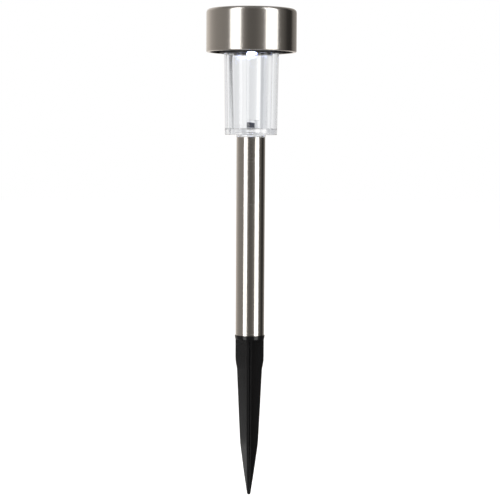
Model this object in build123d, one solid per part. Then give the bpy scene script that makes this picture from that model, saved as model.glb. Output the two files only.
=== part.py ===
from build123d import *
import math
import os

# Solar garden light on a ground stake, in millimetres, +Z up.
# The origin is on the axis at the ground line: the top face of the stake's rim, on which the pole stands.
# From the ground up: a four-finned stake, a steel pole, a clear ribbed lens, and a steel-capped head that
# holds the solar panel, the battery, the circuit and the LED, and turns on the lens by a bayonet.

# ---------------------------------------------------------------- pole
TUBE_DIAMETER = 17.5
TUBE_WALL = 0.5
TUBE_LENGTH = 121.0
PLUG_CLEARANCE = 0.1          # radial, stake spigot and lens spigot in the pole

# ---------------------------------------------------------------- stake
RIM_OVERHANG = 0.55           # how far the rim stands out past the pole
RIM_HEIGHT = 2.4
RIM_DRAFT = 0.4               # the rim is this much smaller in radius at its lower face
FIN_THICKNESS = 1.8
FIN_COLLAR_INSET = 0.15       # upper fins, in from the rim's lower edge
FIN_COLLAR_DEPTH = 15.5
FIN_SHOULDER_DEPTH = 21.5
FIN_SHOULDER_INSET = 1.05     # lost in radius over the shoulder
FIN_KNEE_DEPTH = 67.0
FIN_KNEE_RADIUS = 5.5
STAKE_DEPTH = 99.0
TIP_RADIUS = 1.1
CORE_TOP_RADIUS = 2.1
STAKE_SPIGOT_LENGTH = 18.0
STAKE_SPIGOT_WALL = 1.6
SPIGOT_CHAMFER = 0.7

# ---------------------------------------------------------------- lens
LENS_LOBES = 12
LENS_TOP_RADIUS = 16.75       # over the lobes, where they meet the plain rim
LENS_BOTTOM_RADIUS = 15.9
LOBE_DEPTH = 0.6
LENS_WALL = 1.6               # to the crest of a lobe
LENS_SHOWN_HEIGHT = 50.0      # from the base to the lower edge of the cap
LENS_FLOOR = 3.3
LENS_SHOULDER_HEIGHT = 1.3
LENS_SHOULDER_OVERHANG = 0.25
LENS_SPIGOT_LENGTH = 15.0
LENS_SPIGOT_WALL = 1.6
LENS_SPIGOT_ROOF = 1.8        # plastic left between the spigot's hollow and the chamber
LENS_RIM_STEP = 0.2           # the plain rim stands out this far past the lobes
LENS_RIM_DROP = 1.3           # plain rim, below the cap's lower edge
POST_RADIUS = 3.0             # light-spreading post in the middle of the lens floor
POST_HEIGHT = 5.8
POST_CORE_RADIUS = 1.2
POST_CORE_END = 1.9           # solid plastic above the post's core hole
POST_CONE_DEPTH = 0.6

# ---------------------------------------------------------------- bayonet between lens and head
LUG_COUNT = 3
LUG_FIRST_ANGLE = 90.0
LUG_WIDTH_ANGLE = 20.0
LUG_REACH = 0.9
LUG_THICKNESS = 1.4
LUG_RISE = 1.3                # underside of the lugs, above the cap's lower edge
LUG_SIDE_CLEARANCE_ANGLE = 1.0
TWIST_ANGLE = 24.0            # from locked to the entry slots
SOCKET_CLEARANCE = 0.15
GROOVE_CLEARANCE = 0.1
SOCKET_WALL = 2.1             # socket collar, from the lens rim outwards
SOCKET_DROP = 0.7             # socket collar, below the cap's lower edge

# ---------------------------------------------------------------- head, heights from the cap's lower edge up
COVER_RECESS = 4.2
COVER_THICKNESS = 1.8
BOARD_STANDOFF = 1.3
BOARD_THICKNESS = 1.2
BOARD_TO_BATTERY = 1.6
BATTERY_HEADROOM = 0.3
PLATE_THICKNESS = 1.5
PANEL_BOARD_THICKNESS = 1.2
PANEL_GLAZE_THICKNESS = 1.3
GASKET_THICKNESS = 0.6

# ---------------------------------------------------------------- cap
CAP_WALL = 0.5
CAP_TOP_FILLET = 2.3
CAP_HEM_WIDTH = 2.2           # steel turned inwards under the housing
CAP_HEM_FILLET = 0.8

# ---------------------------------------------------------------- housing and cover
HOUSING_CLEARANCE = 0.15
HOUSING_WALL = 1.25
LEDGE_WIDTH = 1.0
LEDGE_HEIGHT = 1.0
COVER_CLEARANCE = 0.2
SWITCH_RECESS_WIDTH = 6.3     # ring-shaped space between the socket and the housing wall
BOSS_RADIUS = 2.3

# ---------------------------------------------------------------- solar panel
PANEL_SIDE = 28.0
WINDOW_SIDE = 25.0
WINDOW_CORNER = 1.5
PANEL_FIT = 0.2
PANEL_FRAME_WALL = 1.0
PANEL_FRAME_HEIGHT = 1.8
CELL_COUNT = 4
CELL_GAP = 0.5
CELL_FIELD = 23.4
CELL_THICKNESS = 0.3

# ---------------------------------------------------------------- battery, one AAA cell lying along X
BATTERY_DIAMETER = 10.5
BATTERY_LENGTH = 44.5
BATTERY_OFFSET = 3.6          # in +Y, so that the circuit board has room beside it
SLEEVE_THICKNESS = 0.1
SLEEVE_TURN_IN = 1.2          # sleeve edge folded over the ends of the cell
NUB_RADIUS = 1.9
NUB_HEIGHT = 0.8
CONTACT_THICKNESS = 0.4
CONTACT_WIDTH = 5.6
CONTACT_HEIGHT = 8.0
CONTACT_TAB = 5.0             # solder tab, past the plate in -Y
TAB_HEIGHT = 2.4
SPRING_LENGTH = 2.2
SPRING_WIRE = 0.5
SPRING_RADIUS = 3.2
SPRING_TURNS = 2.5
BATTERY_END_ROOM = 0.55       # between the cell's corner and the housing wall
CLIP_THICKNESS = 1.2
CLIP_WALL = 1.3
CLIP_GAP = 0.15
CLIP_REACH = 1.5              # the clip arms pass the cell's middle by this much
CLIP_PLACE = 12.0             # each side of the middle, along X

# ---------------------------------------------------------------- circuit
BOARD_LENGTH = 24.0
BOARD_WIDTH = 17.0
BOARD_EDGE_PAST_LED = 3.6     # how far the board reaches past the LED in +Y
STAKE_POST_RADIUS = 1.6       # heat-staked posts of the cover that hold the board
STAKE_PIN_RADIUS = 0.8
STAKE_PIN_RISE = 0.6
BOARD_HOLE_CLEARANCE = 0.1
POST_INSET = 2.6
CHIP_LENGTH, CHIP_DEPTH, CHIP_HEIGHT = 4.0, 1.6, 3.2
CHIP_LEG_RISE = 1.4
CHIP_LEG_SIDE = 0.4
CHIP_LEG_PITCH = 1.27
CHOKE_RADIUS, CHOKE_LENGTH = 1.5, 7.0
CHOKE_LEAD_RADIUS = 0.3
CHOKE_LEAD_REACH = 1.4
CHOKE_LIFT = 0.5
PART_ROW = 7.2                # chip and choke stand this far in -Y from the LED
PART_SPREAD = 6.0             # and this far each side of the middle

# ---------------------------------------------------------------- LED
LED_RADIUS = 2.5
LED_FLANGE_RADIUS = 2.9
LED_FLANGE_THICKNESS = 1.0
LED_DROP = 2.2                # tip of the LED below the cap's lower edge
LED_FLANGE_RISE = 0.5         # flange top, above the cover
LED_LEAD_SIDE = 0.5
LEAD_CORNER_SHARE = 0.75      # of a square lead's side, just past its corners
LED_LEAD_PITCH = 2.54
LED_LEAD_TAIL = 0.8
LED_HOLE_CLEARANCE = 0.1

# ---------------------------------------------------------------- screws
SCREW_COUNT = 3
SCREW_FIRST_ANGLE = 90.0
SCREW_RADIUS = 1.0
SCREW_LENGTH = 7.0
SCREW_HEAD_RADIUS = 1.9
SCREW_HEAD_HEIGHT = 1.3
SCREW_HOLE_CLEARANCE = 0.15
SLOT_WIDTH, SLOT_LENGTH, SLOT_DEPTH = 0.5, 2.4, 0.7

# ---------------------------------------------------------------- slide switch
SWITCH_TRAVEL = 2.0
SWITCH_PLAY = 0.2
SWITCH_WALL = 0.5
SWITCH_CASE_ROOM = 0.3        # between the switch case and the housing's ledge
KNOB_LENGTH, KNOB_WIDTH = 3.0, 2.2
KNOB_DROP = 2.4               # knob, below the cover's underside
CARRIAGE_LENGTH, CARRIAGE_WIDTH, CARRIAGE_HEIGHT = 4.8, 2.8, 1.8
KNOB_RIDGES = 4
RIDGE_WIDTH = 0.3
RIDGE_DEPTH = 0.25
TERMINAL_SIDE, TERMINAL_LENGTH, TERMINAL_PITCH = 0.5, 1.8, 2.5

# ---------------------------------------------------------------- wires
WIRE_RADIUS = 0.55
WIRE_HOLE_RADIUS = 1.1
PANEL_WIRE_SPREAD = 2.6       # the two panel wires, each side of the middle
PANEL_WIRE_ROW = 10.4         # in -Y
BEND_SHARE = 0.45             # a bend's tangent length, as a share of the shorter run beside it

# ================================================================ what follows from those sizes
tube_radius = TUBE_DIAMETER / 2
tube_bore = tube_radius - TUBE_WALL
spigot_radius = tube_bore - PLUG_CLEARANCE

lens_shoulder_z = TUBE_LENGTH
lens_base_z = lens_shoulder_z + LENS_SHOULDER_HEIGHT
lens_floor_z = lens_base_z + LENS_FLOOR
cap_z = lens_base_z + LENS_SHOWN_HEIGHT
lens_rim_radius = LENS_TOP_RADIUS + LENS_RIM_STEP
lens_rim_z = cap_z - LENS_RIM_DROP
lens_inner_top = LENS_TOP_RADIUS - LENS_WALL
lens_inner_bottom = LENS_BOTTOM_RADIUS - LENS_WALL

cover_z = cap_z + COVER_RECESS
cover_top_z = cover_z + COVER_THICKNESS
board_z = cover_top_z + BOARD_STANDOFF
board_top_z = board_z + BOARD_THICKNESS
battery_low_z = board_top_z + BOARD_TO_BATTERY
battery_axis_z = battery_low_z + BATTERY_DIAMETER / 2
plate_z = battery_low_z + BATTERY_DIAMETER + BATTERY_HEADROOM
plate_top_z = plate_z + PLATE_THICKNESS
glaze_z = plate_top_z + PANEL_BOARD_THICKNESS
gasket_z = glaze_z + PANEL_GLAZE_THICKNESS
cap_roof_z = gasket_z + GASKET_THICKNESS
cap_top_z = cap_roof_z + CAP_WALL

socket_bore = lens_rim_radius + SOCKET_CLEARANCE
groove_radius = lens_rim_radius + LUG_REACH + SOCKET_CLEARANCE
socket_radius = lens_rim_radius + SOCKET_WALL
lens_top_z = cover_z - SOCKET_CLEARANCE
lug_z = cap_z + LUG_RISE

# The cell, its spring and both contact plates lie between the housing's end blocks.
battery_run = BATTERY_LENGTH + SPRING_LENGTH + 2 * CONTACT_THICKNESS
bay_half = battery_run / 2
battery_reach = math.hypot(bay_half - CONTACT_THICKNESS, BATTERY_OFFSET + BATTERY_DIAMETER / 2)
housing_bore = max(battery_reach + BATTERY_END_ROOM, socket_radius + SWITCH_RECESS_WIDTH)
housing_radius = housing_bore + HOUSING_WALL
cap_bore = housing_radius + HOUSING_CLEARANCE
cap_radius = cap_bore + CAP_WALL
hem_bore = cap_radius - CAP_HEM_WIDTH
cover_radius = hem_bore - COVER_CLEARANCE
ring_middle = (socket_radius + hem_bore) / 2      # middle of the recess that the switch and screws are in

cell_minus_x = -bay_half + CONTACT_THICKNESS + SPRING_LENGTH
cell_plus_x = bay_half - CONTACT_THICKNESS
board_high_y = BOARD_EDGE_PAST_LED
board_low_y = board_high_y - BOARD_WIDTH
switch_cavity_length = CARRIAGE_LENGTH + SWITCH_TRAVEL + 2 * SWITCH_PLAY
switch_cavity_width = CARRIAGE_WIDTH + 2 * SWITCH_PLAY
switch_case_length = switch_cavity_length + 2 * SWITCH_WALL
switch_case_width = switch_cavity_width + 2 * SWITCH_WALL
switch_cavity_z = cover_top_z + SWITCH_WALL
switch_cavity_top = switch_cavity_z + CARRIAGE_HEIGHT + 2 * SWITCH_PLAY
switch_top_z = switch_cavity_top + SWITCH_WALL
knob_x = -SWITCH_TRAVEL / 2   # at rest the knob is at the -X end of its slot, which is on

led_tip_z = cap_z - LED_DROP
led_flange_top_z = cover_top_z + LED_FLANGE_RISE
led_flange_z = led_flange_top_z - LED_FLANGE_THICKNESS


def rod(radius, low, high, x=0.0, y=0.0):
    """An upright cylinder from one height to another."""
    return Pos(x, y, (low + high) / 2) * Cylinder(radius, high - low)


def pipe(outer, inner, low, high, x=0.0, y=0.0):
    return rod(outer, low, high, x, y) - rod(inner, low, high, x, y)


def block(x, y, low, high, length, width):
    """An upright box about (x, y), from one height to another."""
    return Pos(x, y, (low + high) / 2) * Box(length, width, high - low)


def cone(low_radius, high_radius, low, high):
    return Pos(0, 0, (low + high) / 2) * Cone(low_radius, high_radius, high - low)


def around(count, first, radius):
    """Places on a circle, as (x, y, angle)."""
    for i in range(count):
        angle = first + i * 360.0 / count
        yield radius * math.cos(math.radians(angle)), radius * math.sin(math.radians(angle)), angle


def sector(inner, outer, low, high, start, stop):
    """Part of a flat ring between two angles."""
    ring = revolve(Plane.XZ * Pos((inner + outer) / 2, (low + high) / 2)
                   * Rectangle(outer - inner, high - low), Axis.Z, stop - start)
    return Rot(0, 0, start) * ring


def solids_of(parts):
    return Compound(children=[s for p in parts for s in p.solids()])


# ---------------------------------------------------------------- stake, moulded in one piece with its spigot
def ground_stake():
    rim_radius = tube_radius + RIM_OVERHANG
    rim_low_radius = rim_radius - RIM_DRAFT
    collar_radius = rim_low_radius - FIN_COLLAR_INSET
    shoulder_radius = collar_radius - FIN_SHOULDER_INSET
    half_outline = [
        (collar_radius, -RIM_HEIGHT),
        (collar_radius, -FIN_COLLAR_DEPTH),
        (shoulder_radius, -FIN_SHOULDER_DEPTH),
        (FIN_KNEE_RADIUS, -FIN_KNEE_DEPTH),
        (TIP_RADIUS, -STAKE_DEPTH + TIP_RADIUS),
    ]
    other_half = [(-x, z) for x, z in reversed(half_outline)]
    fin_face = make_face(
        Polyline(other_half[-1], half_outline[0], *half_outline[1:])
        + ThreePointArc(half_outline[-1], (0, -STAKE_DEPTH), other_half[0])
        + Polyline(*other_half)
    )
    fin = extrude(Plane.XZ * fin_face, FIN_THICKNESS / 2, both=True)
    core = cone(TIP_RADIUS * 0.8, CORE_TOP_RADIUS, -STAKE_DEPTH + 2 * TIP_RADIUS, -RIM_HEIGHT)
    rim = cone(rim_low_radius, rim_radius, -RIM_HEIGHT, 0)
    spigot = pipe(spigot_radius, spigot_radius - STAKE_SPIGOT_WALL, 0, STAKE_SPIGOT_LENGTH)
    spigot = chamfer(spigot.edges().group_by(Axis.Z)[-1].sort_by(SortBy.RADIUS)[-1], SPIGOT_CHAMFER)
    return fin + Rot(0, 0, 90) * fin + core + rim + spigot


# ---------------------------------------------------------------- pole, a plain welded tube
def pole_tube():
    return pipe(tube_radius, tube_bore, 0, TUBE_LENGTH)


# ---------------------------------------------------------------- lens, one clear moulding
def lobed_face(radius, z):
    """Round outline of outward lobes that meet in valleys on the X and Y axes."""
    step = 360.0 / LENS_LOBES
    arcs = []
    for i in range(LENS_LOBES):
        ends = [math.radians(i * step), math.radians((i + 1) * step)]
        middle = sum(ends) / 2
        valley = radius - LOBE_DEPTH
        arcs.append(ThreePointArc(
            (valley * math.cos(ends[0]), valley * math.sin(ends[0]), z),
            (radius * math.cos(middle), radius * math.sin(middle), z),
            (valley * math.cos(ends[1]), valley * math.sin(ends[1]), z),
        ))
    return Face(Wire(arcs))


def lens():
    foot = lobed_face(LENS_BOTTOM_RADIUS, lens_base_z)
    crown = lobed_face(LENS_TOP_RADIUS, lens_rim_z)
    body = loft([foot, crown], ruled=True)
    body += rod(lens_rim_radius, lens_rim_z, lens_top_z)
    body -= cone(lens_inner_bottom, lens_inner_top, lens_floor_z, lens_top_z)
    body += rod(tube_radius + LENS_SHOULDER_OVERHANG, lens_shoulder_z, lens_base_z)
    body += rod(spigot_radius, lens_shoulder_z - LENS_SPIGOT_LENGTH, lens_shoulder_z)
    body += rod(POST_RADIUS, lens_floor_z, lens_floor_z + POST_HEIGHT)
    hollow_top = lens_floor_z - LENS_SPIGOT_ROOF
    body -= rod(spigot_radius - LENS_SPIGOT_WALL, lens_shoulder_z - LENS_SPIGOT_LENGTH, hollow_top)
    core_top = lens_floor_z + POST_HEIGHT - POST_CORE_END
    body -= rod(POST_CORE_RADIUS, hollow_top, core_top)
    body -= cone(POST_CORE_RADIUS, 0, core_top, core_top + POST_CONE_DEPTH)
    for _, _, angle in around(LUG_COUNT, LUG_FIRST_ANGLE, lens_rim_radius):
        body += sector(lens_rim_radius - LENS_WALL / 2, lens_rim_radius + LUG_REACH,
                       lug_z, lug_z + LUG_THICKNESS,
                       angle - LUG_WIDTH_ANGLE / 2, angle + LUG_WIDTH_ANGLE / 2)
    return body


# ---------------------------------------------------------------- cap, drawn from steel sheet
def cap():
    outer = rod(cap_radius, cap_z, cap_top_z)
    outer = fillet(outer.edges().group_by(Axis.Z)[-1], CAP_TOP_FILLET)
    outer = fillet(outer.edges().group_by(Axis.Z)[0], CAP_HEM_FILLET)
    inner = rod(cap_bore, cap_z + CAP_WALL, cap_roof_z)
    inner = fillet(inner.edges().group_by(Axis.Z)[-1], CAP_TOP_FILLET - CAP_WALL)
    opening = RectangleRounded(WINDOW_SIDE, WINDOW_SIDE, WINDOW_CORNER)
    window = Pos(0, 0, cap_roof_z) * extrude(opening, CAP_WALL)
    return outer - inner - rod(hem_bore, cap_z, cap_z + CAP_WALL) - window


# ---------------------------------------------------------------- solar panel
def square_frame(outer, inner, low, high):
    return block(0, 0, low, high, outer, outer) - block(0, 0, low, high, inner, inner)


def panel_gasket():
    return square_frame(PANEL_SIDE, WINDOW_SIDE, gasket_z, cap_roof_z)


def cell_blocks():
    width = (CELL_FIELD - (CELL_COUNT - 1) * CELL_GAP) / CELL_COUNT
    places = [(i - (CELL_COUNT - 1) / 2) * (width + CELL_GAP) for i in range(CELL_COUNT)]
    return [block(x, 0, glaze_z, glaze_z + CELL_THICKNESS, width, CELL_FIELD) for x in places]


def solar_cells():
    return solids_of(cell_blocks())


def panel_glaze():
    return block(0, 0, glaze_z, gasket_z, PANEL_SIDE, PANEL_SIDE) - cell_blocks()


def panel_board():
    return block(0, 0, plate_top_z, glaze_z, PANEL_SIDE, PANEL_SIDE)


# ---------------------------------------------------------------- housing, the cup inside the cap
def housing():
    cup = rod(housing_radius, cap_z + CAP_WALL, plate_top_z) - rod(housing_bore, cap_z + CAP_WALL, plate_z)
    cup += pipe(housing_bore, housing_bore - LEDGE_WIDTH, cover_top_z, cover_top_z + LEDGE_HEIGHT)
    cup += square_frame(PANEL_SIDE + 2 * PANEL_FIT + 2 * PANEL_FRAME_WALL, PANEL_SIDE + 2 * PANEL_FIT,
                        plate_top_z, plate_top_z + PANEL_FRAME_HEIGHT)
    # The ledge is cut away where the switch stands beside the wall.
    cup -= block(0, -ring_middle, cover_top_z, cover_top_z + LEDGE_HEIGHT,
                 switch_case_length + 2 * SWITCH_CASE_ROOM, switch_case_width + 2 * SWITCH_CASE_ROOM)
    for x, y, angle in around(SCREW_COUNT, SCREW_FIRST_ANGLE, ring_middle):
        boss = rod(BOSS_RADIUS, cover_top_z, plate_z, x, y)
        web = Rot(0, 0, angle) * block((ring_middle + housing_bore) / 2, 0, cover_top_z, plate_z,
                                       housing_bore - ring_middle, FIN_THICKNESS / 2)
        cup += (boss + web) & rod(housing_radius, cover_top_z, plate_z)
        cup -= rod(SCREW_RADIUS, cover_top_z, cover_z + SCREW_LENGTH, x, y)
    # End blocks back up the two contact plates.
    for side in (-1, 1):
        end = block(side * (bay_half + housing_bore) / 2, BATTERY_OFFSET, battery_low_z, plate_z,
                    housing_bore - bay_half, CONTACT_WIDTH + 2 * CLIP_WALL)
        cup += end & rod(housing_radius, battery_low_z, plate_z)
    # Snap clips hang from the plate and hold the cell from both sides.
    arm_low = battery_axis_z - CLIP_REACH
    for side in (-1, 1):
        clip = block(side * CLIP_PLACE, BATTERY_OFFSET, arm_low, plate_z, CLIP_THICKNESS,
                     BATTERY_DIAMETER + 2 * CLIP_GAP + 2 * CLIP_WALL)
        cup += clip
    cup -= (Pos(0, BATTERY_OFFSET, battery_axis_z) * Rot(0, 90, 0)
            * Cylinder(BATTERY_DIAMETER / 2 + CLIP_GAP, 2 * CLIP_PLACE + 2 * CLIP_THICKNESS))
    for side in (-1, 1):
        cup -= rod(WIRE_HOLE_RADIUS, plate_z, plate_top_z, side * PANEL_WIRE_SPREAD, -PANEL_WIRE_ROW)
    return cup


# ---------------------------------------------------------------- cover with the bayonet socket
def board_posts():
    """Places of the two posts that hold the circuit board."""
    y = board_low_y + POST_INSET
    x = BOARD_LENGTH / 2 - POST_INSET
    return [(-x, y), (x, y)]


def base_cover():
    cover = rod(cover_radius, cover_z, cover_top_z)
    cover += pipe(socket_radius, socket_bore, cap_z - SOCKET_DROP, cover_z)
    half_lug = LUG_WIDTH_ANGLE / 2 + LUG_SIDE_CLEARANCE_ANGLE
    for _, _, angle in around(LUG_COUNT, LUG_FIRST_ANGLE, socket_radius):
        inner = socket_bore - SOCKET_CLEARANCE
        cover -= sector(inner, groove_radius,
                        lug_z - GROOVE_CLEARANCE, lug_z + LUG_THICKNESS + GROOVE_CLEARANCE,
                        angle - TWIST_ANGLE - half_lug, angle + half_lug)
        cover -= sector(inner, groove_radius, cap_z - SOCKET_DROP, lug_z + LUG_THICKNESS,
                        angle - TWIST_ANGLE - half_lug, angle - TWIST_ANGLE + half_lug)
    cover -= rod(LED_RADIUS + LED_HOLE_CLEARANCE, cover_z, cover_top_z)
    cover -= rod(LED_FLANGE_RADIUS + LED_HOLE_CLEARANCE, led_flange_z, cover_top_z)
    for x, y, _ in around(SCREW_COUNT, SCREW_FIRST_ANGLE, ring_middle):
        cover -= rod(SCREW_RADIUS + SCREW_HOLE_CLEARANCE, cover_z, cover_top_z, x, y)
    cover -= block(0, -ring_middle, cover_z, cover_top_z,
                   KNOB_LENGTH + SWITCH_TRAVEL + 2 * SWITCH_PLAY, KNOB_WIDTH + 2 * SWITCH_PLAY)
    for x, y in board_posts():
        cover += rod(STAKE_POST_RADIUS, cover_top_z, board_z, x, y)
        cover += rod(STAKE_PIN_RADIUS, board_z, board_top_z + STAKE_PIN_RISE, x, y)
    return cover


def cover_screws():
    screws = []
    for x, y, angle in around(SCREW_COUNT, SCREW_FIRST_ANGLE, ring_middle):
        head_low = cover_z - SCREW_HEAD_HEIGHT
        head = rod(SCREW_HEAD_RADIUS, head_low, cover_z, x, y)
        head = fillet(head.edges().group_by(Axis.Z)[0], SCREW_HEAD_HEIGHT * 0.45)
        shank = rod(SCREW_RADIUS, cover_z, cover_z + SCREW_LENGTH, x, y)
        screw = head + chamfer(shank.edges().group_by(Axis.Z)[-1], SCREW_RADIUS * 0.7)
        for turn in (0, 90):
            screw -= Pos(x, y, 0) * Rot(0, 0, angle + turn) * block(0, 0, head_low, head_low + SLOT_DEPTH,
                                                                    SLOT_LENGTH, SLOT_WIDTH)
        screws.append(screw)
    return solids_of(screws)


# ---------------------------------------------------------------- slide switch beside the socket, at -Y
def switch_case():
    case = block(0, -ring_middle, cover_top_z, switch_top_z, switch_case_length, switch_case_width)
    case -= block(0, -ring_middle, switch_cavity_z, switch_cavity_top,
                  switch_cavity_length, switch_cavity_width)
    case -= block(0, -ring_middle, cover_top_z, switch_cavity_z,
                  KNOB_LENGTH + SWITCH_TRAVEL + 2 * SWITCH_PLAY, KNOB_WIDTH + 2 * SWITCH_PLAY)
    return case


def switch_knob():
    carriage_low = switch_cavity_z + SWITCH_PLAY
    knob_low = cover_z - KNOB_DROP
    knob = block(knob_x, -ring_middle, carriage_low, carriage_low + CARRIAGE_HEIGHT,
                 CARRIAGE_LENGTH, CARRIAGE_WIDTH)
    knob += block(knob_x, -ring_middle, knob_low, carriage_low, KNOB_LENGTH, KNOB_WIDTH)
    pitch = KNOB_LENGTH / KNOB_RIDGES
    for i in range(KNOB_RIDGES - 1):
        x = knob_x + (i + 1) * pitch - KNOB_LENGTH / 2
        knob -= block(x, -ring_middle, knob_low, knob_low + RIDGE_DEPTH, RIDGE_WIDTH, KNOB_WIDTH)
    return knob


def switch_terminals():
    return solids_of([block(i * TERMINAL_PITCH, -ring_middle, switch_top_z, switch_top_z + TERMINAL_LENGTH,
                            TERMINAL_SIDE, TERMINAL_SIDE) for i in (-1, 0, 1)])


# ---------------------------------------------------------------- circuit board and what is soldered to it
def circuit_board():
    board = block(0, (board_low_y + board_high_y) / 2, board_z, board_top_z, BOARD_LENGTH, BOARD_WIDTH)
    for x, y in board_posts():
        board -= rod(STAKE_PIN_RADIUS + BOARD_HOLE_CLEARANCE, board_z, board_top_z, x, y)
    lead_hole = LED_LEAD_SIDE * LEAD_CORNER_SHARE + BOARD_HOLE_CLEARANCE
    for side in (-1, 1):
        board -= rod(lead_hole, board_z, board_top_z, side * LED_LEAD_PITCH / 2, 0)
    return board


def control_chip():
    low = board_top_z + CHIP_LEG_RISE
    body = block(-PART_SPREAD, -PART_ROW, low, low + CHIP_HEIGHT, CHIP_LENGTH + 2 * CHIP_LEG_SIDE, CHIP_DEPTH)
    return chamfer(body.edges().filter_by(Axis.Z).group_by(Axis.Y)[0], CHIP_LEG_SIDE)


def chip_legs():
    return solids_of([block(-PART_SPREAD + (i - 1.5) * CHIP_LEG_PITCH, -PART_ROW, board_top_z,
                            board_top_z + CHIP_LEG_RISE, CHIP_LEG_SIDE, CHIP_LEG_SIDE) for i in range(4)])


choke_axis_z = board_top_z + CHOKE_LIFT + CHOKE_RADIUS


def choke_coil():
    body = Cylinder(CHOKE_RADIUS, CHOKE_LENGTH)
    body = fillet(body.edges(), CHOKE_RADIUS * 0.4)
    return Pos(PART_SPREAD, -PART_ROW, choke_axis_z) * Rot(0, 90, 0) * body


def choke_leads():
    leads = []
    for side in (-1, 1):
        start = PART_SPREAD + side * CHOKE_LENGTH / 2
        corner = start + side * CHOKE_LEAD_REACH
        path = FilletPolyline((start, -PART_ROW, choke_axis_z), (corner, -PART_ROW, choke_axis_z),
                              (corner, -PART_ROW, board_top_z), radius=CHOKE_LEAD_REACH * 0.6)
        leads.append(sweep(Plane(path @ 0, z_dir=path % 0) * Circle(CHOKE_LEAD_RADIUS), path))
    return solids_of(leads)


# ---------------------------------------------------------------- LED, pointing down into the lens
def led_lamp():
    body = rod(LED_RADIUS, led_tip_z + LED_RADIUS, led_flange_z)
    body += Pos(0, 0, led_tip_z + LED_RADIUS) * Sphere(LED_RADIUS)
    return body + rod(LED_FLANGE_RADIUS, led_flange_z, led_flange_top_z)


def led_leads():
    return solids_of([block(side * LED_LEAD_PITCH / 2, 0, led_flange_top_z, board_top_z + LED_LEAD_TAIL,
                            LED_LEAD_SIDE, LED_LEAD_SIDE) for side in (-1, 1)])


# ---------------------------------------------------------------- battery and contacts
def along_x(radius, low, high):
    """A cylinder on the cell's axis, from one X to another."""
    middle = Pos((low + high) / 2, BATTERY_OFFSET, battery_axis_z)
    return middle * Rot(0, 90, 0) * Cylinder(radius, high - low)


can_radius = BATTERY_DIAMETER / 2 - SLEEVE_THICKNESS
can_minus_x = cell_minus_x + SLEEVE_THICKNESS
can_plus_x = cell_plus_x - NUB_HEIGHT


def battery_cell():
    can = along_x(can_radius, can_minus_x, can_plus_x)
    flat = along_x(can_radius - SLEEVE_TURN_IN, cell_minus_x, can_minus_x)
    return can + flat + along_x(NUB_RADIUS, can_plus_x, cell_plus_x)


def battery_sleeve():
    outer = along_x(BATTERY_DIAMETER / 2, cell_minus_x, can_plus_x + SLEEVE_THICKNESS)
    outer -= along_x(can_radius, can_minus_x, can_plus_x)
    hole = can_radius - SLEEVE_TURN_IN
    return outer - along_x(hole, cell_minus_x, can_minus_x) - along_x(hole, can_plus_x,
                                                                      can_plus_x + SLEEVE_THICKNESS)


def contact(side):
    """The plate at one end of the cell, with a solder tab towards -Y."""
    x = side * (bay_half - CONTACT_THICKNESS / 2)
    plate = block(x, BATTERY_OFFSET, battery_axis_z - CONTACT_HEIGHT / 2, battery_axis_z + CONTACT_HEIGHT / 2,
                  CONTACT_THICKNESS, CONTACT_WIDTH)
    tab_y = BATTERY_OFFSET - CONTACT_WIDTH / 2 - CONTACT_TAB / 2
    return plate + block(x, tab_y, battery_axis_z - TAB_HEIGHT / 2, battery_axis_z + TAB_HEIGHT / 2,
                         CONTACT_THICKNESS, CONTACT_TAB)


def battery_spring():
    height = SPRING_LENGTH - SPRING_WIRE
    path = Helix(height / SPRING_TURNS, height, SPRING_RADIUS)
    coil = sweep(Plane(path @ 0, z_dir=path % 0) * Circle(SPRING_WIRE / 2), path, is_frenet=True)
    foot = Pos(-bay_half + CONTACT_THICKNESS + SPRING_WIRE / 2, BATTERY_OFFSET, battery_axis_z)
    return foot * Rot(0, 90, 0) * coil


# ---------------------------------------------------------------- leads between panel, battery and board
def wire(points):
    """A lead of straight runs and tangent arcs; each arc is as large as its two runs allow."""
    runs = [Vector(*b) - Vector(*a) for a, b in zip(points, points[1:])]
    radii = []
    for before, after in zip(runs, runs[1:]):
        half_turn = math.radians(before.get_angle(after)) / 2
        radii.append(BEND_SHARE * min(before.length, after.length) / math.tan(half_turn))
    path = FilletPolyline(*points, radius=radii)
    lead = sweep(Plane(path @ 0, z_dir=path % 0) * Circle(WIRE_RADIUS), path)
    expected = math.pi * WIRE_RADIUS ** 2 * path.length
    print(f"lead {path.length:.1f} long, radii {[round(r, 1) for r in radii]},",
          f"volume {lead.volume / expected:.3f} of the expected")
    return lead


def panel_wire(side):
    """From under the panel, through the plate, to the board's edge. It leaves and arrives square."""
    x, y = side * PANEL_WIRE_SPREAD, -PANEL_WIRE_ROW
    drop = plate_top_z - board_top_z
    return wire([
        (x, y, plate_top_z),
        (x, y, plate_top_z - 0.25 * drop),
        (x + side * 1.4, y - 1.0, plate_top_z - 0.5 * drop),
        (x + side * 0.5, y - 0.4, plate_top_z - 0.75 * drop),
        (x + side * 0.5, y - 0.4, board_top_z),
    ])


def battery_wire(side):
    """From a contact's solder tab, past the cell, down to the board."""
    x = side * (bay_half - CONTACT_THICKNESS)
    y = BATTERY_OFFSET - CONTACT_WIDTH / 2 - CONTACT_TAB + WIRE_RADIUS
    board_x = side * (BOARD_LENGTH / 2 - 1.6)
    reach = x - board_x
    return wire([
        (x, y, battery_axis_z),
        (x - 0.35 * reach, y, battery_axis_z),
        (x - 0.75 * reach, y - 1.2, battery_axis_z - 0.9),
        (board_x, y - 1.6, battery_axis_z - 3.4),
        (board_x, y - 1.6, board_top_z),
    ])


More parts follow.
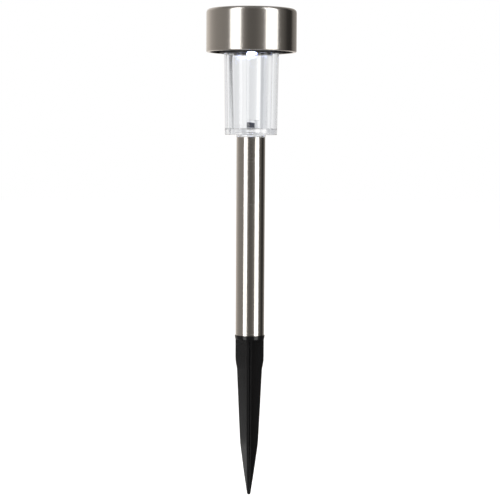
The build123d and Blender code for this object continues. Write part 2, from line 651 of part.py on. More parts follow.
pieces = {
    "ground_stake": ground_stake(),
    "pole_tube": pole_tube(),
    "lens": lens(),
    "cap": cap(),
    "panel_gasket": panel_gasket(),
    "panel_glaze": panel_glaze(),
    "solar_cells": solar_cells(),
    "panel_board": panel_board(),
    "housing": housing(),
    "base_cover": base_cover(),
    "cover_screws": cover_screws(),
    "switch_case": switch_case(),
    "switch_knob": switch_knob(),
    "switch_terminals": switch_terminals(),
    "circuit_board": circuit_board(),
    "control_chip": control_chip(),
    "chip_legs": chip_legs(),
    "choke_coil": choke_coil(),
    "choke_leads": choke_leads(),
    "led_lamp": led_lamp(),
    "led_leads": led_leads(),
    "battery_cell": battery_cell(),
    "battery_sleeve": battery_sleeve(),
    "battery_spring": battery_spring(),
    "contact_plus": contact(1),
    "contact_minus": contact(-1),
    "panel_wire_red": panel_wire(1),
    "panel_wire_black": panel_wire(-1),
    "battery_wire_red": battery_wire(1),
    "battery_wire_black": battery_wire(-1),
}

os.makedirs("parts", exist_ok=True)
for name, piece in pieces.items():
    export_step(piece, f"parts/{name}.step")
print(f"cap diameter {2 * cap_radius:.2f}, cap height {cap_top_z - cap_z:.2f}, top at {cap_top_z:.2f}")
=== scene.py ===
import math

import bmesh
import bpy
from mathutils import Matrix, Vector


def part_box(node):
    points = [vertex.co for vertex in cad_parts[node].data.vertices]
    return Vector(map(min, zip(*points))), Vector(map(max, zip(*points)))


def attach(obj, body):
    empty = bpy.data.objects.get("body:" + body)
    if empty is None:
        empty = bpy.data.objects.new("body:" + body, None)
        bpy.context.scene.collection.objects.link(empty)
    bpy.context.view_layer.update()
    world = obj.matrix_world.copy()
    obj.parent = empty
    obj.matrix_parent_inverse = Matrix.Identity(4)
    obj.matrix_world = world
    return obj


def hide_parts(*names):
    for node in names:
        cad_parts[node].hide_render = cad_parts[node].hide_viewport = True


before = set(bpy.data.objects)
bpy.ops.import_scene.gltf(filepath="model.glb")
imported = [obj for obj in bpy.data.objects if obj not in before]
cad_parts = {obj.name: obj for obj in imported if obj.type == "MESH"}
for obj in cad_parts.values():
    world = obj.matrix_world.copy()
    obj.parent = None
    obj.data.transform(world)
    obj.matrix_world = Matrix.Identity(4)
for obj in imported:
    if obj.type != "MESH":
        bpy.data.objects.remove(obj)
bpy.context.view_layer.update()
mm = 0.001

# ---------------------------------------------------------------- ground stake
# Black polypropylene, moulded in one shot: a thin rim, four fins that taper to a blunt tip, and a hollow
# spigot that plugs into the pole. The fins have draft, soft edges, and a fillet along the root.


class Value:
    """A number that a shader works out. Python's operators on it add Math nodes."""

    def __init__(self, tree, socket):
        self.tree, self.socket = tree, socket

    def math(self, operation, first, second=0.0):
        return Nodes(self.tree).node("ShaderNodeMath", {"operation": operation}, {0: first, 1: second})

    def __add__(self, other):
        return self.math("ADD", self, other)

    def __sub__(self, other):
        return self.math("SUBTRACT", self, other)

    def __rsub__(self, other):
        return self.math("SUBTRACT", other, self)

    def __mul__(self, other):
        return self.math("MULTIPLY", self, other)

    def __gt__(self, other):
        return self.math("GREATER_THAN", self, other)

    def __lt__(self, other):
        return self.math("LESS_THAN", self, other)

    def of(self, operation, other=0.0):
        return self.math(operation, self, other)

    __radd__ = __add__
    __rmul__ = __mul__


class Nodes:
    """Adds nodes to one shader: settings first, then the values or links of the sockets."""

    def __init__(self, tree):
        self.tree = tree

    def node(self, kind, settings=None, sockets=None, output=0):
        made = self.tree.nodes.new(kind)
        for key, setting in (settings or {}).items():
            if key == "stops":
                ramp = made.color_ramp
                while len(ramp.elements) < len(setting):
                    ramp.elements.new(0.5)
                for element, (place, colour) in zip(ramp.elements, setting):
                    element.position = place
                    element.color = (*colour, 1.0)
            else:
                setattr(made, key, setting)
        self.fill(made, sockets or {})
        return Value(self.tree, made.outputs[output])

    def fill(self, node, sockets):
        for key, given in sockets.items():
            if isinstance(given, Value):
                self.tree.links.new(given.socket, node.inputs[key])
            else:
                node.inputs[key].default_value = given

    def point(self):
        """Object coordinates, in metres."""
        return self.node("ShaderNodeTexCoord", output=3)

    def axis(self, name):
        return self.node("ShaderNodeSeparateXYZ", {}, {0: self.point()}, output="XYZ".index(name))

    def noise(self, scale, detail=2.0, stretch=(1.0, 1.0, 1.0)):
        """Noise that a stretch below 1 draws out along that axis."""
        place = self.node("ShaderNodeMapping", {}, {"Vector": self.point(), "Scale": stretch})
        return self.noise_at(place, scale, detail)

    def noise_at(self, place, scale, detail):
        return self.node("ShaderNodeTexNoise", {}, {"Vector": place, "Scale": scale, "Detail": detail})

    def between(self, factor, first, second):
        """A colour that goes from the first to the second."""
        first, second = (c if isinstance(c, Value) else (*c, 1.0) for c in (first, second))
        sockets = {0: factor, 6: first, 7: second}
        return self.node("ShaderNodeMix", {"data_type": "RGBA"}, sockets, output=2)

    def bump(self, height, depth, strength=1.0):
        sockets = {"Height": height, "Distance": depth, "Strength": strength}
        return self.node("ShaderNodeBump", {}, sockets)


class Finish(Nodes):
    """One material, on a Principled shader whose constants are set straight on its sockets."""

    def __init__(self, name, **constants):
        self.material = bpy.data.materials.new(name)
        self.material.use_nodes = True
        super().__init__(self.material.node_tree)
        self.shader = self.tree.nodes["Principled BSDF"]
        self.surface(**constants)

    def surface(self, **sockets):
        named = {key.replace("_", " "): value for key, value in sockets.items()}
        for key, value in named.items():
            if isinstance(value, tuple) and len(value) == 3:
                named[key] = (*value, 1.0)
        self.fill(self.shader, named)
        return self.material


def rounded(corners, pieces=6):
    """An outline from (radius, height, rounding) corners, with each rounding as an arc."""
    outline = []
    for i, (x, z, rounding) in enumerate(corners):
        here = Vector((x, z))
        if not rounding:
            outline.append(here)
            continue
        back = (Vector(corners[i - 1][:2]) - here).normalized()
        ahead = (Vector(corners[(i + 1) % len(corners)][:2]) - here).normalized()
        half = back.angle(ahead) / 2
        reach = rounding / math.tan(half)
        middle = here + (back + ahead).normalized() * rounding / math.sin(half)
        start = (here + back * reach - middle).normalized()
        stop = (here + ahead * reach - middle).normalized()
        outline += [middle + start.slerp(stop, k / pieces) * rounding for k in range(pieces + 1)]
    return outline


def turn_outline(bm, outline, closed=True, steps=192, sweep=math.tau):
    """Spins an outline about the Z axis. A closed one makes a ring, an open one ends on the axis."""
    points = [bm.verts.new((x, 0, z)) for x, z in outline]
    pairs = list(zip(points, points[1:])) + ([(points[-1], points[0])] if closed else [])
    edges = [bm.edges.new(pair) for pair in pairs]
    full = sweep == math.tau
    made = bmesh.ops.spin(bm, geom=points + edges, cent=(0, 0, 0), axis=(0, 0, 1), angle=sweep,
                          steps=steps, use_merge=full, use_duplicate=False)
    if not full:
        last = [e for e in made["geom_last"] if isinstance(e, bmesh.types.BMEdge)]
        for loop in (edges, last):
            bmesh.ops.contextual_create(bm, geom=loop)


def soften(bm, edges, width, segments):
    """Rounds edges over."""
    bmesh.ops.bevel(bm, geom=edges, offset=width, offset_type="OFFSET", segments=segments, profile=0.5,
                    affect="EDGES", material=-1, clamp_overlap=True)


def piece_of(name, bm, material):
    """An object in the scene, made of a bmesh and one material."""
    mesh = bpy.data.meshes.new(name)
    bm.to_mesh(mesh)
    bm.free()
    mesh.materials.append(material)
    piece = bpy.data.objects.new(name, mesh)
    bpy.context.scene.collection.objects.link(piece)
    return piece


def finished(name, bm, material, body, slot, *nodes):
    """Makes a piece of a bmesh, and puts it in the place of its CAD nodes."""
    bmesh.ops.remove_doubles(bm, verts=bm.verts, dist=1e-7)
    bmesh.ops.recalc_face_normals(bm, faces=bm.faces)
    piece = piece_of(name, bm, material)
    piece.data.shade_smooth()
    piece.data.set_sharp_from_angle(angle=math.radians(32))
    flat_walls = piece.modifiers.new("flat_walls", "WEIGHTED_NORMAL")
    flat_walls.keep_sharp = True
    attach(piece, body)
    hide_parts(*nodes)
    return piece


def moulded_black(name, tint, grain, grain_depth, roughness, dulling=0.16, shine=0.5):
    """Moulded plastic: a fine grain, faint flow marks, and a few duller patches from handling."""
    finish = Finish(name, IOR=1.49, Specular_IOR_Level=shine)
    dull = finish.noise(90, 3)
    flow = finish.noise(60, 2, stretch=(1, 1, 0.15))
    fine = finish.noise(grain, 3)
    return finish.surface(
        Base_Color=finish.between(flow, tint, tuple(c * 1.5 for c in tint)),
        Roughness=roughness + dulling * dull,
        Normal=finish.bump(fine, grain_depth),
    )


stake_low, stake_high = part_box("ground_stake")
pole_low, pole_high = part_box("pole_tube")
pole_radius = pole_high.x
rim_radius = stake_high.x
rim_height = 2.4 * mm
rim_draft = 0.4 * mm
spigot_top = stake_high.z
spigot_radius = pole_radius - 0.6 * mm
spigot_wall = 1.6 * mm
spigot_floor = 2.0 * mm        # height of the hollow's floor over the rim
fin_root = 1.05 * mm           # half thickness of a fin at the root
fin_edge = 0.75 * mm           # and at its outer edge
root_share = 0.62              # near the tip, the most that each may be of the fin's reach
edge_share = 0.45
fin_corner = 0.28 * mm
tip_radius = 1.1 * mm

# Reach of the fins at each depth under the rim: straight collar, shoulder, slow taper, then the point.
collar = rim_radius - 0.55 * mm
fin_reach = [
    (-rim_height * 0.6, collar), (-13.5 * mm, collar), (-15.5 * mm, collar - 0.08 * mm),
    (-17.5 * mm, collar - 0.35 * mm), (-20 * mm, collar - 0.85 * mm), (-21.5 * mm, collar - 1.05 * mm),
    (-44 * mm, 6.65 * mm), (-64 * mm, 5.65 * mm), (-67 * mm, 5.45 * mm), (-70 * mm, 5.1 * mm),
    (-85 * mm, 3.05 * mm),
]
tip_middle = stake_low.z + tip_radius
for tilt in (0, 0.5, 0.95, 1.3):
    fin_reach.append((tip_middle - tip_radius * math.sin(tilt), tip_radius * math.cos(tilt)))


def draw_stake():
    """The fins are a cross of five faces, extruded down level by level."""

    def set_level(verts, height, reach):
        root = min(fin_root, reach * root_share)
        edge = min(fin_edge, reach * edge_share)
        lead = 1.2                 # a vertex on a fin lies this much further out along its own axis
        for vert in verts:
            arm_x = abs(vert.co.x) > abs(vert.co.y) * lead
            arm_y = abs(vert.co.y) > abs(vert.co.x) * lead
            along = reach if arm_x or arm_y else root
            across = edge if arm_x or arm_y else root
            vert.co.x = math.copysign(along if arm_x else across, vert.co.x)
            vert.co.y = math.copysign(along if arm_y else across, vert.co.y)
            vert.co.z = height

    bm = bmesh.new()
    bmesh.ops.create_grid(bm, x_segments=1, y_segments=1, size=fin_root)
    for edge in list(bm.edges):
        out = (edge.verts[0].co + edge.verts[1].co).normalized()
        arm = bmesh.ops.extrude_edge_only(bm, edges=[edge])
        for vert in (v for v in arm["geom"] if isinstance(v, bmesh.types.BMVert)):
            vert.co += out * fin_root
    set_level(list(bm.verts), *fin_reach[0])
    top = list(bm.faces)
    faces = top
    for height, reach in fin_reach[1:]:
        grown = bmesh.ops.extrude_face_region(bm, geom=faces, use_keep_orig=faces is top)
        verts = [g for g in grown["geom"] if isinstance(g, bmesh.types.BMVert)]
        if faces is not top:
            bmesh.ops.delete(bm, geom=faces, context="FACES_ONLY")
        faces = [g for g in grown["geom"] if isinstance(g, bmesh.types.BMFace)]
        set_level(verts, height, reach)
    bm.normal_update()
    sharp, short = 0.6, 0.5 * mm
    upright = [e for e in bm.edges if len(e.link_faces) == 2 and e.calc_face_angle() > sharp
               and abs(e.verts[0].co.z - e.verts[1].co.z) > short]
    soften(bm, upright, fin_corner, 3)
    # The rim and the spigot are turned as one, with a closed floor.
    inner = spigot_radius - spigot_wall
    turn_outline(bm, rounded([
        (0, -rim_height, 0), (rim_radius - rim_draft, -rim_height, 0.25 * mm), (rim_radius, 0, 0.3 * mm),
        (spigot_radius, 0, 0.15 * mm), (spigot_radius, spigot_top, 0.7 * mm), (inner, spigot_top, 0.3 * mm),
        (inner, spigot_floor, 0.4 * mm), (0, spigot_floor, 0),
    ]), closed=False)
    return bm


stake_finish = moulded_black("stake_plastic", (0.0036, 0.0036, 0.0039), grain=2600,
                             grain_depth=0.003 * mm, roughness=0.10, dulling=0.10, shine=0.3)
finished("stake_moulding", draw_stake(), stake_finish, "stake", "stake_plastic", "ground_stake")

# ---------------------------------------------------------------- pole
# Thin stainless tube, seam-welded, and brushed round the axis on a belt. Its ends are cut square and
# deburred, and both are a push fit: on the stake's spigot below, and round the lens's spigot above.
pole_wall = 0.5 * mm
outer_edge = 0.15 * mm
inner_edge = 0.12 * mm


def brushed_steel(name, line_scale):
    """Brushed round the axis: fine lines that follow height on a wall and radius on a flat top."""
    finish = Finish(name, Metallic=1.0, Anisotropic=0.75, Anisotropic_Rotation=0.25)
    x, y, z = (finish.axis(letter) for letter in "XYZ")
    reach = (x * x + y * y).of("SQRT")
    along = 0.006                  # how fast a line changes on its way round
    around = finish.node("ShaderNodeCombineXYZ", {}, {0: x * along, 1: y * along, 2: z + reach})
    lines = finish.noise_at(around, line_scale, detail=4.0)
    scores = finish.noise_at(around, line_scale * 0.2, detail=2.0)
    cloud = finish.noise(45)
    dark, light = (0.565, 0.535, 0.50), (0.645, 0.615, 0.575)
    return finish.surface(
        Base_Color=finish.between(lines * 0.6 + scores * 0.4, dark, light),
        Roughness=0.20 + 0.06 * lines + 0.05 * cloud,
        Normal=finish.bump(lines * 0.7 + scores * 0.3, 0.006 * mm, 0.3),
    )


def draw_pole():
    bm = bmesh.new()
    inner = pole_radius - pole_wall
    rows = 24
    heights = [pole_low.z + (pole_high.z - pole_low.z) * k / rows for k in range(1, rows)]
    turn_outline(bm, rounded([
        (pole_radius, pole_low.z, outer_edge), *((pole_radius, z, 0) for z in heights),
        (pole_radius, pole_high.z, outer_edge), (inner, pole_high.z, inner_edge),
        (inner, pole_low.z, inner_edge),
    ], pieces=3))
    return bm


pole_finish = brushed_steel("brushed_pole_steel", line_scale=9000)
finished("steel_pole", draw_pole(), pole_finish, "pole", "stainless_steel", "pole_tube")

# ---------------------------------------------------------------- lens
# Clear polystyrene, moulded as one cup: soft upright lobes outside, a smooth cone inside, and a post on the
# floor that spreads the light, hollow inside, its bore painted dark blue as painted shade for the dark
# hollow seen through the plastic. A spigot below plugs into the pole, and three lugs on the plain rim lock
# into the head.
lens_low, lens_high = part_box("lens")
cap_low, cap_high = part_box("cap")
shoulder_z = pole_high.z
shoulder_radius = pole_radius + 0.25 * mm
base_z = shoulder_z + 1.3 * mm
floor_z = base_z + 3.3 * mm
lens_rim_z = cap_low.z - 1.3 * mm
lobes = 12
lobe_depth = 0.6 * mm
lens_foot = 15.9 * mm          # radius over the lobes at the base
lens_crown = 16.75 * mm        # and under the rim
rim_lift = 0.2 * mm            # the rim stands out this far from the crown
lens_rim = lens_crown + rim_lift
lens_wall = 1.6 * mm
plug_radius = pole_radius - 0.6 * mm
plug_hollow = plug_radius - lens_wall
plug_ceiling = floor_z - 1.8 * mm
post_radius = 3.0 * mm
post_top = floor_z + 5.8 * mm
bore_radius = 1.2 * mm
bore_top = post_top - 1.9 * mm
bore_cone = 0.6 * mm
# Heights between which the bore carries painted dark blue shade.
shade_paint_low = floor_z + 1.0 * mm
shade_paint_high = post_top - 1.0 * mm
lug_low, lug_high = cap_low.z + 1.3 * mm, cap_low.z + 2.7 * mm
lug_root = lens_rim - 0.4 * mm
lug_end = lens_rim + 0.9 * mm
lug_width = math.radians(20)
lug_starts = [math.radians(angle) for angle in (80, 200, 320)]


def lobed_radius(angle, crest):
    """An arc through two valleys and the crest between them, in polar form."""
    half = math.pi / lobes
    off = (angle % (2 * half)) - half
    valley = crest - lobe_depth
    rise = crest - valley * math.cos(half)
    chord = valley * math.sin(half)
    arc = (chord ** 2 + rise ** 2) / (2 * rise)
    middle = crest - arc
    return middle * math.cos(off) + math.sqrt(arc ** 2 - (middle * math.sin(off)) ** 2)


def flank_radius(height):
    """Radius over the lobes, which grows evenly from the foot to the crown."""
    return lens_foot + (lens_crown - lens_foot) * (height - base_z) / (lens_rim_z - base_z)


def draw_lens():
    bm = bmesh.new()
    rows = 16
    heights = [base_z + (lens_rim_z - base_z) * k / rows for k in range(1, rows)]
    turn_outline(bm, rounded([
        (0, bore_top + bore_cone, 0), (bore_radius, bore_top, 0.2 * mm), (bore_radius, shade_paint_low, 0),
        (bore_radius, plug_ceiling, 0.2 * mm), (plug_hollow, plug_ceiling, 0.6 * mm),
        (plug_hollow, lens_low.z, 0.25 * mm), (plug_radius, lens_low.z, 0.4 * mm),
        (plug_radius, shoulder_z, 0.1 * mm), (shoulder_radius, shoulder_z, 0.25 * mm),
        (shoulder_radius, base_z, 0.2 * mm), (lens_foot, base_z, 0.45 * mm),
        *((flank_radius(z), z, 0) for z in heights),
        (lens_crown, lens_rim_z, 0), (lens_rim, lens_rim_z + rim_lift, 0.1 * mm),
        (lens_rim, lens_high.z, 0.3 * mm), (lens_crown - lens_wall, lens_high.z, 0.3 * mm),
        (lens_foot - lens_wall, floor_z, 0.8 * mm), (post_radius, floor_z, 0.5 * mm),
        (post_radius, post_top, 0.5 * mm), (0, post_top, 0),
    ], pieces=5), closed=False, steps=lobes * 20)
    flank_inside = lens_foot - lobe_depth - 0.3 * mm
    play = 0.01 * mm
    for vert in bm.verts:
        if base_z - play < vert.co.z < lens_rim_z + play and vert.co.xy.length > flank_inside:
            crest = flank_radius(vert.co.z)
            vert.co.xy *= lobed_radius(math.atan2(vert.co.y, vert.co.x), crest) / crest
    for start in lug_starts:
        lug = bmesh.new()
        section = [(lug_root, lug_low), (lug_end, lug_low), (lug_end, lug_high), (lug_root, lug_high)]
        turn_outline(lug, section, steps=10, sweep=lug_width)
        bmesh.ops.rotate(lug, verts=lug.verts, cent=(0, 0, 0), matrix=Matrix.Rotation(start, 3, "Z"))
        spare = bpy.data.meshes.new("lug")
        lug.to_mesh(spare)
        lug.free()
        bm.from_mesh(spare)
        bpy.data.meshes.remove(spare)
    return bm


def painted_bore_shade():
    """Painted shade: dark blue on the bore of the post, from just over the floor to the cone at its top,
    standing in for the shadowed hollow.
    """
    finish = Finish("bore_painted_shade", Specular_IOR_Level=0.2)
    shade_mottle = finish.noise(700, 3)
    return finish.surface(
        Base_Color=finish.between(shade_mottle, (0.010, 0.018, 0.060), (0.030, 0.048, 0.120)),
        Roughness=0.35 + 0.2 * shade_mottle,
    )


def clear_plastic(name, tint, roughness, ior):
    """Clear moulding: almost no colour, faint draw lines, and a slightly frosted handling film."""
    finish = Finish(name, Transmission_Weight=1.0, IOR=ior, Base_Color=tint)
    film = finish.noise(160, 3)
    draw_lines = finish.noise(900, 2, stretch=(1, 1, 0.03))
    return finish.surface(
        Roughness=roughness + 0.03 * film,
        Normal=finish.bump(draw_lines, 0.006 * mm, 0.5),
    )


lens_finish = clear_plastic("clear_lens_plastic", (0.985, 0.99, 0.995), roughness=0.015, ior=1.5)
moulding = finished("lens_moulding", draw_lens(), lens_finish, "lens", "clear_plastic", "lens")
# Painted shade: the bore's faces get the dark blue that stands in for the shadowed hollow.
moulding.data.materials.append(painted_bore_shade())
for face in moulding.data.polygons:
    if face.center.xy.length < bore_radius * 1.01 and shade_paint_low < face.center.z < shade_paint_high:
        face.material_index = 1

# ---------------------------------------------------------------- head mouldings
# Black ABS: the base cover with its bayonet socket, and the cup above it that carries the panel and the
# battery. Both keep their CAD shape and take a fine spark-eroded texture.
head_finish = moulded_black("head_plastic", (0.012, 0.012, 0.014), grain=5200,
                            grain_depth=0.03 * mm, roughness=0.42)


def dress(material, *nodes):
    """Gives CAD nodes, whose shape is right, their finish."""
    for name in nodes:
        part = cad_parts[name]
        part.data.materials.clear()
        part.data.materials.append(material)


dress(head_finish, "base_cover", "housing")

# ---------------------------------------------------------------- LED
# A 5 mm clear epoxy lamp, cast round its chip and lit cool white. It hangs dome down through the cover,
# where its flange is seated, and its two tinned legs go up to the board.
led_low, led_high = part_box("led_lamp")
led_radius = 2.5 * mm
flange_z = led_high.z - 1.0 * mm


def draw_led():
    bm = bmesh.new()
    dome_steps = 12
    angles = [math.pi / 2 * k / dome_steps for k in range(dome_steps + 1)]
    dome = [(led_radius * math.sin(a), led_low.z + led_radius * (1 - math.cos(a))) for a in angles]
    flange = [(led_radius, flange_z), (led_high.x, flange_z), (led_high.x, led_high.z), (0, led_high.z)]
    turn_outline(bm, dome + flange, closed=False, steps=64)
    return bm


def lit_epoxy():
    """Only what shows under the flange glows."""
    finish = Finish("lit_led_epoxy", Base_Color=(0.9, 0.95, 1.0), Roughness=0.1, Emission_Strength=30.0)
    low = finish.axis("Z") < flange_z
    return finish.surface(Emission_Color=finish.between(low, (0.0, 0.0, 0.02), (0.42, 0.50, 1.0)))


finished("led_dome", draw_led(), lit_epoxy(), "head", "led_epoxy", "led_lamp")

# ---------------------------------------------------------------- circuit
# Green glass-fibre board, fixed over the cover, with a moulded four-leg chip and a lacquered choke on it.
# Their legs and those of the LED are tinned for soldering.


def laminate():
    """Green board with raised copper tracks under the lacquer, and a weave in its gloss."""
    finish = Finish("green_laminate", IOR=1.5)
    weave = finish.noise(1500, 2, stretch=(1, 0.2, 1))
    tracks = finish.noise(260, 1) > 0.53
    return finish.surface(
        Base_Color=finish.between(tracks, (0.008, 0.075, 0.028), (0.02, 0.16, 0.06)),
        Roughness=0.28 + 0.15 * weave,
        Normal=finish.bump(tracks, 0.03 * mm),
    )


def plain_metal(name, tint, roughness):
    """Rolled or plated metal with a soft unevenness."""
    finish = Finish(name, Metallic=1.0)
    cloud = finish.noise(700, 3)
    return finish.surface(
        Base_Color=finish.between(cloud, tuple(c * 0.82 for c in tint), tint),
        Roughness=roughness + 0.18 * cloud,
        Normal=finish.bump(cloud, 0.01 * mm),
    )


def coated(name, tint, roughness, grain):
    """Coloured plastic, lacquer or rubber with a fine grain."""
    finish = Finish(name, IOR=1.5)
    fine = finish.noise(grain, 3)
    return finish.surface(
        Base_Color=finish.between(fine, tuple(c * 0.75 for c in tint), tint),
        Roughness=roughness + 0.15 * fine,
        Normal=finish.bump(fine, 0.015 * mm),
    )


tinned = plain_metal("tinned_metal", (0.80, 0.79, 0.76), roughness=0.22)
dress(laminate(), "circuit_board", "panel_board")
dress(coated("chip_epoxy", (0.02, 0.02, 0.022), roughness=0.5, grain=4000), "control_chip")
dress(coated("choke_lacquer", (0.10, 0.32, 0.22), roughness=0.25, grain=1500), "choke_coil")
dress(tinned, "chip_legs", "choke_leads", "led_leads", "switch_terminals")

# ---------------------------------------------------------------- battery
# One AAA cell lies across the head: a nickel-plated can in a heat-shrunk sleeve. A coil spring and two
# plated contact strips hold it, and leads in coloured insulation join it and the panel to the board.
band_start = 9 * mm            # the sleeve is white from here to the positive end


def shrunk_sleeve():
    """Printed film with shrink wrinkles: green, with a white band at the positive end."""
    finish = Finish("cell_sleeve", IOR=1.5, Coat_Weight=0.6)
    band = finish.axis("X") > band_start
    wrinkle = finish.noise(500, 3, stretch=(0.3, 1, 1))
    return finish.surface(
        Base_Color=finish.between(band, (0.02, 0.13, 0.055), (0.75, 0.75, 0.72)),
        Roughness=0.25 + 0.1 * wrinkle,
        Normal=finish.bump(wrinkle, 0.02 * mm),
    )


nickel = plain_metal("nickel_strip", (0.68, 0.64, 0.56), roughness=0.2)
dress(shrunk_sleeve(), "battery_sleeve")
dress(plain_metal("cell_can", (0.66, 0.64, 0.60), roughness=0.25), "battery_cell")
dress(nickel, "battery_spring", "contact_plus", "contact_minus")
for shade, tint in (("red", (0.45, 0.015, 0.012)), ("black", (0.015, 0.015, 0.015))):
    insulation = coated(f"{shade}_insulation", tint, roughness=0.4, grain=1800)
    dress(insulation, f"panel_wire_{shade}", f"battery_wire_{shade}")

# ---------------------------------------------------------------- solar panel
# Dark blue cells with printed silver lines, soldered to a small board and covered with poured clear epoxy.
# Foam tape seals the panel to the cap's roof, under the window.
glaze_low, glaze_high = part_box("panel_glaze")
glaze_corner = 0.8 * mm
glaze_edge = 0.35 * mm
finger_pitch, finger_share = 1.95 * mm, 0.06
bus_pitch, bus_share = 5.98 * mm, 0.09


def silicon():
    """Dark blue with a slight drift of hue, fine printed fingers, and broader bus lines across them."""
    finish = Finish("silicon_cell", IOR=1.6, Specular_IOR_Level=0.3)
    drift = finish.noise(120)
    across = finish.axis("Y") * (1 / finger_pitch)
    fingers = across.of("FRACT") < finger_share
    along = (finish.axis("X") * (1 / bus_pitch) + 0.5).of("FRACT")
    bus = (along - 0.5).of("ABSOLUTE") < bus_share / 2
    silver = fingers.of("MAXIMUM", bus)
    blue = finish.between(drift, (0.004, 0.008, 0.040), (0.010, 0.016, 0.070))
    return finish.surface(
        Base_Color=finish.between(silver, blue, (0.30, 0.31, 0.34)),
        Roughness=0.22 + 0.2 * silver,
    )


def draw_glaze():
    bm = bmesh.new()
    bmesh.ops.create_cube(bm, size=1.0)
    size = glaze_high - glaze_low
    bmesh.ops.scale(bm, verts=bm.verts, vec=size)
    bmesh.ops.translate(bm, verts=bm.verts, vec=(0, 0, glaze_low.z + size.z / 2))
    upright = [e for e in bm.edges if abs(e.verts[0].co.z - e.verts[1].co.z) > size.z / 2]
    soften(bm, upright, glaze_corner, 5)
    rim = [e for e in bm.edges if min(v.co.z for v in e.verts) > glaze_high.z - 0.01 * mm]
    soften(bm, rim, glaze_edge, 4)
    return bm


dress(silicon(), "solar_cells")
dress(coated("foam_tape", (0.02, 0.02, 0.02), roughness=0.8, grain=2500), "panel_gasket")
glaze_finish = clear_plastic("panel_epoxy", (0.97, 0.98, 1.0), roughness=0.01, ior=1.5)
finished("panel_epoxy_block", draw_glaze(), glaze_finish, "head", "panel_epoxy", "panel_glaze")

# ---------------------------------------------------------------- cap
# Stainless sheet, deep drawn, with a rounded top corner, a pierced window, and an edge turned in under the
# housing. It is spun and brushed round the axis.
cap_radius = cap_high.x
cap_wall = 0.5 * mm
cap_corner = 2.3 * mm
hem_width = 2.2 * mm
hem_corner = 0.8 * mm
window_half = 12.5 * mm
window_corner = 1.5 * mm
window_edge = 0.2 * mm
roof_reach = 21.0 * mm         # the roof is flat out to here
window_ring = roof_reach - 3 * mm


def square_reach(angle):
    """Distance from the axis to the edge of the window, a square with rounded corners."""
    x, y = abs(math.cos(angle)), abs(math.sin(angle))
    straight = window_half / max(x, y)
    inner = window_half - window_corner
    if straight * min(x, y) <= inner:
        return straight
    toward = inner * (x + y)
    return toward + math.sqrt(toward ** 2 - 2 * inner ** 2 + window_corner ** 2)


def draw_cap():
    """A ring with a round opening, whose inner edge is then drawn to the square window."""
    bm = bmesh.new()
    inner = cap_radius - cap_wall
    hem = cap_radius - hem_width
    hem_top = cap_low.z + cap_wall
    roof = cap_high.z - cap_wall
    turn_outline(bm, rounded([
        (window_ring, roof, 0), (window_ring, cap_high.z, 0), (roof_reach, cap_high.z, 0),
        (cap_radius, cap_high.z, cap_corner), (cap_radius, cap_low.z, hem_corner),
        (hem, cap_low.z, 0.15 * mm), (hem, hem_top, 0.15 * mm), (inner, hem_top, 0.2 * mm),
        (inner, roof, cap_corner - cap_wall), (roof_reach, roof, 0),
    ], pieces=10), steps=240)
    edge = [v for v in bm.verts if v.co.xy.length < window_ring + 0.01 * mm]
    for vert in edge:
        angle = math.atan2(vert.co.y, vert.co.x)
        vert.co.xy = Vector((math.cos(angle), math.sin(angle))) * square_reach(angle)
    upper = {v for v in edge if v.co.z > roof + cap_wall / 2}
    soften(bm, [e for e in bm.edges if upper.issuperset(e.verts)], window_edge, 2)
    return bm


cap_finish = brushed_steel("brushed_cap_steel", line_scale=8500)
finished("steel_cap", draw_cap(), cap_finish, "head", "stainless_steel", "cap")

# ---------------------------------------------------------------- screws and switch
# Three zinc-plated self-tapping screws hold the cover up in the housing. The on and off switch is a small
# slide switch in a pressed steel frame, and its plastic knob reaches down through a slot in the cover.
zinc = plain_metal("zinc_steel", (0.66, 0.67, 0.66), roughness=0.25)
dress(zinc, "cover_screws", "switch_case")
dress(coated("knob_plastic", (0.09, 0.09, 0.094), roughness=0.38, grain=3500), "switch_knob")

# ---------------------------------------------------------------- stage, light and camera
# The camera sees a pale floor at the tip of the stake and a white surround. Clear plastic lets through a
# second surround instead, with soft grey uprights, and the steel mirrors a dark studio and two softboxes.
camera_turn = 10.0             # degrees, from -Y towards +X
camera_distance = 1.0
camera_height = 0.1154
camera_pitch = 3.62
camera_roll = -0.35
camera_lens = 118.0
camera_shift = -0.0017
white_radius = 6.0
flagged_radius = 5.9
floor_radius = 5.5
floor_gap = 0.05 * mm
softboxes = [                  # name, angle from the camera, width, power
    ("left_softbox", -41.0, 0.55, 15.0),
    ("right_softbox", 53.0, 0.67, 18.0),
]
softbox_length = 2.8
softbox_distance = 1.2
softbox_height = 0.55


def around_light(angle, distance, height):
    """A place at an angle from the camera's side of the light, positive to its right."""
    turn = math.radians(camera_turn + angle)
    return Vector((math.sin(turn) * distance, -math.cos(turn) * distance, height))


def surround(name, radius, material):
    """A shell of light that the steel doesn't mirror and that doesn't light matt surfaces."""
    bm = bmesh.new()
    bmesh.ops.create_icosphere(bm, subdivisions=4, radius=radius)
    shell = piece_of(name, bm, material)
    shell.visible_glossy = False
    shell.visible_diffuse = False
    shell.visible_shadow = False
    return shell


def glowing(name):
    """A finish that only gives light."""
    return Finish(name, Base_Color=(0, 0, 0), Specular_IOR_Level=0.0, Emission_Strength=1.0)


def soft_flags():
    """White with soft grey uprights all round, so that clear plastic gets its edges from any side."""
    finish = glowing("surround_flags")
    bearing = finish.axis("Y").of("ARCTAN2", finish.axis("X"))

    def uprights(count, phase):
        return (bearing * count + phase).of("SINE") * 0.5 + 0.5

    level = uprights(7.0, 0.6) * 0.6 + uprights(19.0, 1.7) * 0.4
    return finish.surface(Emission_Color=finish.between(level, (0.58, 0.59, 0.61), (1.0, 1.0, 1.0)))


white_finish = glowing("surround_white").surface(Emission_Color=(1.0, 1.0, 1.0))
surround("white_surround", white_radius, white_finish).visible_transmission = False
surround("flagged_surround", flagged_radius, soft_flags()).visible_camera = False

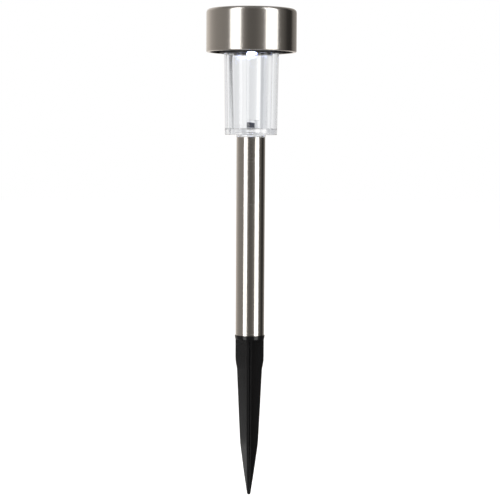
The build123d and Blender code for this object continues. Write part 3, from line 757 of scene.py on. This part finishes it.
ground = bmesh.new()
bmesh.ops.create_circle(ground, cap_ends=True, segments=96, radius=floor_radius)
bmesh.ops.translate(ground, verts=ground.verts, vec=(0, 0, stake_low.z - floor_gap))
floor_finish = Finish("pale_floor", Base_Color=(0.8, 0.8, 0.8), Roughness=0.9, Specular_IOR_Level=0.1,
                      Emission_Color=(1.0, 1.0, 1.0), Emission_Strength=0.8)
floor = piece_of("pale_floor", ground, floor_finish.material)
floor.visible_glossy = False
floor.visible_transmission = False

for name, angle, width, power in softboxes:
    data = bpy.data.lights.new(name, "AREA")
    data.shape, data.size, data.size_y, data.energy = "RECTANGLE", width, softbox_length, power
    lamp = bpy.data.objects.new(name, data)
    lamp.location = around_light(angle, softbox_distance, softbox_height)
    lamp.rotation_euler = (math.radians(90), 0, math.radians(camera_turn + angle))
    lamp.visible_transmission = False
    bpy.context.scene.collection.objects.link(lamp)

# The studio that the steel mirrors: brightness against the angle from the camera, positive to its right.
studio = [
    (-180, 0.90), (-158, 0.85), (-138, 0.70), (-124, 0.50), (-114, 0.42), (-101, 0.34), (-66, 0.28),
    (-24, 0.24), (-8, 0.13), (10, 0.13), (34, 0.22), (74, 0.18), (94, 0.10), (104, 0.035), (124, 0.03),
    (130, 0.22), (156, 0.34), (180, 0.90),
]
warmth = (1.0, 0.94, 0.88)
overhead = (0.22, 0.215, 0.21)
world = bpy.data.worlds.new("studio")
world.use_nodes = True
bpy.context.scene.world = world
air = Nodes(world.node_tree)
toward = air.node("ShaderNodeTexCoord", output=0)
facing = (0, 0, math.radians(90 - camera_turn))
turned = air.node("ShaderNodeMapping", {}, {"Vector": toward, "Rotation": facing})
bearing = air.node("ShaderNodeTexGradient", {"gradient_type": "RADIAL"}, {"Vector": turned})
stops = [(angle / 360 + 0.5, tuple(level * share for share in warmth)) for angle, level in studio]
wall = air.node("ShaderNodeValToRGB", {"stops": stops}, {0: bearing})
height = air.node("ShaderNodeSeparateXYZ", {}, {0: toward}, output=2)
steep = air.node("ShaderNodeMapRange", {"interpolation_type": "SMOOTHSTEP"},
                 {0: height.of("ABSOLUTE"), 1: 0.45, 2: 0.85})
sky = air.between(steep, wall, overhead)
air.fill(world.node_tree.nodes["Background"], {"Color": sky, "Strength": 1.0})

camera_data = bpy.data.cameras.new("camera")
camera_data.sensor_width = 36.0
camera_data.lens = camera_lens
camera_data.shift_x = camera_shift
camera = bpy.data.objects.new("camera", camera_data)
camera.location = around_light(0.0, camera_distance, camera_height)
camera.rotation_euler = [math.radians(a) for a in (90 - camera_pitch, camera_roll, camera_turn)]
bpy.context.scene.collection.objects.link(camera)
bpy.context.scene.camera = camera
bpy.context.scene.view_settings.view_transform = "Standard"

# Light that is caught between the lobes and the inside of the lens turns many times before it gets out.
light_turns = 40
cycles = bpy.context.scene.cycles
cycles.max_bounces = light_turns
cycles.glossy_bounces = light_turns
cycles.transmission_bounces = light_turns
